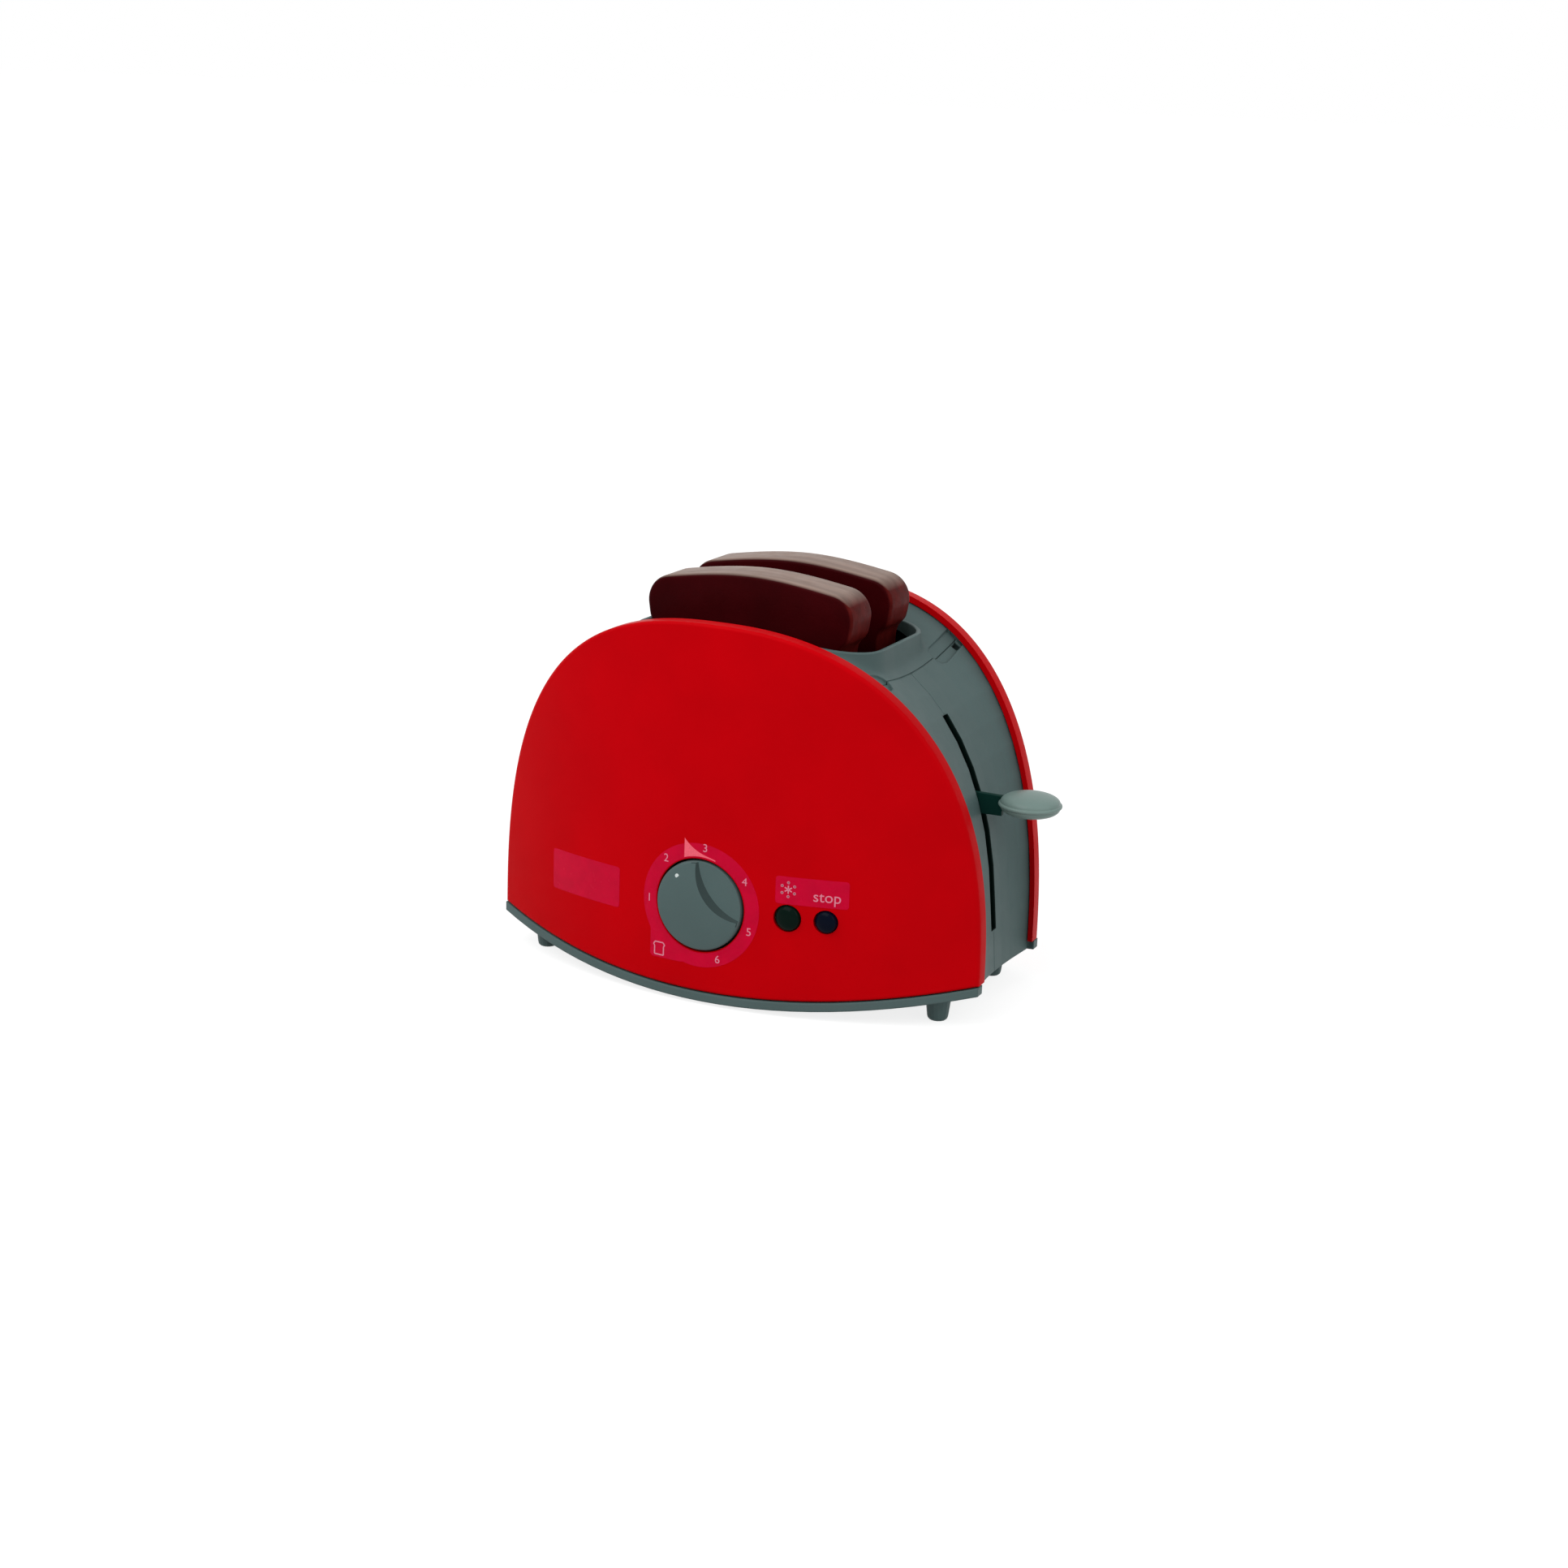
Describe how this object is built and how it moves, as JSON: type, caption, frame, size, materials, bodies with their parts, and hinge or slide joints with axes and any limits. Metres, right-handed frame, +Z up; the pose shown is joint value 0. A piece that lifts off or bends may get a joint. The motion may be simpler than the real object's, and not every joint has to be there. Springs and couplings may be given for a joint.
{
  "type": "toy toaster",
  "caption": "Play pop-up toaster with bowed arched panels, a dipped housing with a collared opening, thick slices on a sprung carriage, a side lever, a turning timer knob and push buttons",
  "frame": {"origin": "centre of the underside, on the plane that the feet stand on", "axes": "+Z up, the dial faces -Y, the lever is at +X"},
  "size_m": [0.1854, 0.1038, 0.1356],
  "materials": {
    "red_plastic": "glossy red",
    "grey_plastic": "semi-gloss grey-green",
    "dark_plastic": "dark satin",
    "button_plastic": "glossy black",
    "toast_plastic": "dark toasted brown with a pale crust top",
    "steel": "bright",
    "brass": "plain"
  },
  "bodies": {
    "housing": {"base_plate": "grey_plastic", "base_screw_1": "steel", "base_screw_2": "steel", "base_screw_3": "steel", "base_screw_4": "steel", "body_front": "grey_plastic", "body_rear": "grey_plastic", "chute": "dark_plastic", "clock_case": "dark_plastic", "clock_plate": "brass", "clock_screw_1": "steel", "clock_screw_2": "steel", "clock_screw_3": "steel", "defrost_spring": "steel", "front_panel": "red_plastic", "guide_rod_left": "steel", "guide_rod_right": "steel", "latch_pin": "steel", "latch_spring": "steel", "lift_spring_left": "steel", "lift_spring_right": "steel", "mainspring": "steel", "rear_panel": "red_plastic", "top_frame": "grey_plastic"},
    "carriage": {"carriage": "dark_plastic", "lever_disc": "grey_plastic"},
    "slice_front": {"toast_front": "toast_plastic"},
    "slice_rear": {"toast_rear": "toast_plastic"},
    "dial": {"timer_knob": "grey_plastic", "timer_shaft": "steel", "drive_gear": "brass"},
    "escapement": {"escape_pinion": "brass"},
    "defrost": {"defrost_button": "button_plastic"},
    "stop": {"stop_button": "button_plastic"},
    "latch": {"latch_hook": "dark_plastic"}
  },
  "joints": [
    {"name": "lever_slide", "type": "slide", "parent": "housing", "child": "carriage", "axis": [0, 0, 1], "range_m": [-0.033, 0.02], "stiffness_N_per_m": 90, "springref_m": 0.0203, "deforming": ["lift_spring_left", "lift_spring_right"]},
    {"name": "front_slice_lift", "type": "slide", "parent": "carriage", "child": "slice_front", "axis": [0, 0, 1], "range_m": [0, 0.08]},
    {"name": "rear_slice_lift", "type": "slide", "parent": "carriage", "child": "slice_rear", "axis": [0, 0, 1], "range_m": [0, 0.08]},
    {"name": "timer_turn", "type": "hinge", "parent": "housing", "child": "dial", "pos_m": [-0.0085, -0.045, 0.0333], "axis": [0, 1, 0], "range_deg": [-100, 200]},
    {"name": "escapement_spin", "type": "hinge", "parent": "housing", "child": "escapement", "pos_m": [-0.0085, -0.04, 0.0434], "axis": [0, 1, 0], "range_deg": [-600, 300]},
    {"name": "defrost_push", "type": "slide", "parent": "housing", "child": "defrost", "axis": [0, 1, 0], "range_m": [0, 0.002], "stiffness_N_per_m": 400, "springref_m": -0.001, "deforming": ["defrost_spring"]},
    {"name": "stop_push", "type": "slide", "parent": "housing", "child": "stop", "axis": [0, 1, 0], "range_m": [0, 0.002], "stiffness_N_per_m": 400, "springref_m": -0.001, "deforming": ["latch_spring"]},
    {"name": "latch_swing", "type": "hinge", "parent": "housing", "child": "latch", "pos_m": [0, -0.03365, 0.027], "axis": [-1, 0, 0], "range_deg": [0, 20]}
  ],
  "couplings": [
    {"joint": "escapement_spin", "follows": "timer_turn", "ratio": -3},
    {"joint": "latch_swing", "follows": "stop_push", "rad_per_m": 160}
  ]
}
